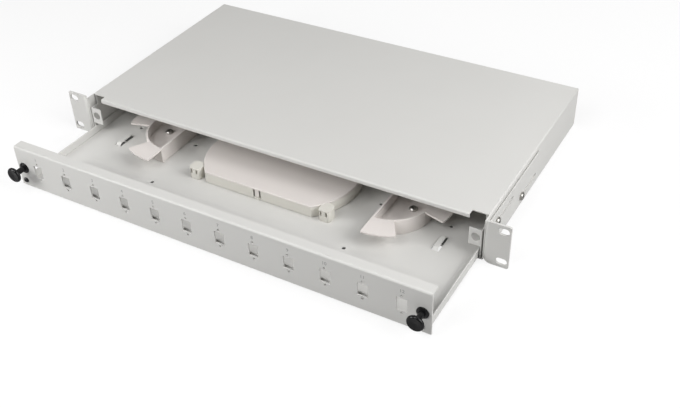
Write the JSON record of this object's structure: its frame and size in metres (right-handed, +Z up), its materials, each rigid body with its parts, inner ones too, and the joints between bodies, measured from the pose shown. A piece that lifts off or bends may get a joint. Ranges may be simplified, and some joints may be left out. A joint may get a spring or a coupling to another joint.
{
  "type": "fibre patch panel",
  "caption": "One-unit rack panel for fibre, with a pull-out drawer that carries a front plate of adapter openings, a splice cassette with a hinged lid and half-moon fibre guides",
  "frame": {"origin": "centre of the four rack slots, on the rear face of the ears, which seats on the rack rails", "axes": "X along the panel to the right as seen from the front, Y back into the rack, Z up"},
  "size_m": [0.478, 0.3569, 0.044],
  "materials": {
    "grey_paint": "light grey powder coat, fine satin texture",
    "white_plastic": "off-white moulded plastic, soft sheen",
    "black_plastic": "black moulded nylon, glossy",
    "nickel": "bright nickel-plated steel",
    "black_steel": "black oxide steel"
  },
  "bodies": {
    "casing": {"casing_base": "grey_paint", "side_wall_left": "grey_paint", "side_wall_right": "grey_paint", "top_cover": "grey_paint", "ear_bracket_left": "grey_paint", "ear_bracket_right": "grey_paint", "bracket_screws": "nickel", "cover_rear_screws": "nickel"},
    "drawer": {"drawer_tray": "grey_paint", "tray_front": "grey_paint", "tray_side_left": "grey_paint", "tray_side_right": "grey_paint", "tie_bridge_left": "grey_paint", "tie_bridge_right": "grey_paint", "front_panel": "grey_paint", "front_panel_screws": "black_steel", "fibre_guide_left": "white_plastic", "fibre_guide_right": "white_plastic", "guide_screws": "nickel", "splice_tray_base": "white_plastic", "splice_comb_front": "white_plastic", "splice_comb_rear": "white_plastic", "splice_tray_screws": "nickel", "lid_hinge_pins": "nickel", "latch_grommet_left": "black_plastic", "latch_grommet_right": "black_plastic"},
    "plunger_left": {"latch_plunger_left": "black_plastic"},
    "plunger_right": {"latch_plunger_right": "black_plastic"},
    "lid": {"splice_tray_lid": "white_plastic"}
  },
  "joints": [
    {"name": "drawer_slide", "type": "slide", "parent": "casing", "child": "drawer", "axis": [0, 1, 0], "range_m": [-0.0885, 0.1]},
    {"name": "latch_slide_left", "type": "slide", "parent": "drawer", "child": "plunger_left", "axis": [0, 1, 0], "range_m": [0, 0.009]},
    {"name": "latch_slide_right", "type": "slide", "parent": "drawer", "child": "plunger_right", "axis": [0, 1, 0], "range_m": [0, 0.009]},
    {"name": "lid_hinge", "type": "hinge", "parent": "drawer", "child": "lid", "pos_m": [0, 0.0746, -0.0091], "axis": [-1, 0, 0], "range_deg": [0, 13]}
  ]
}
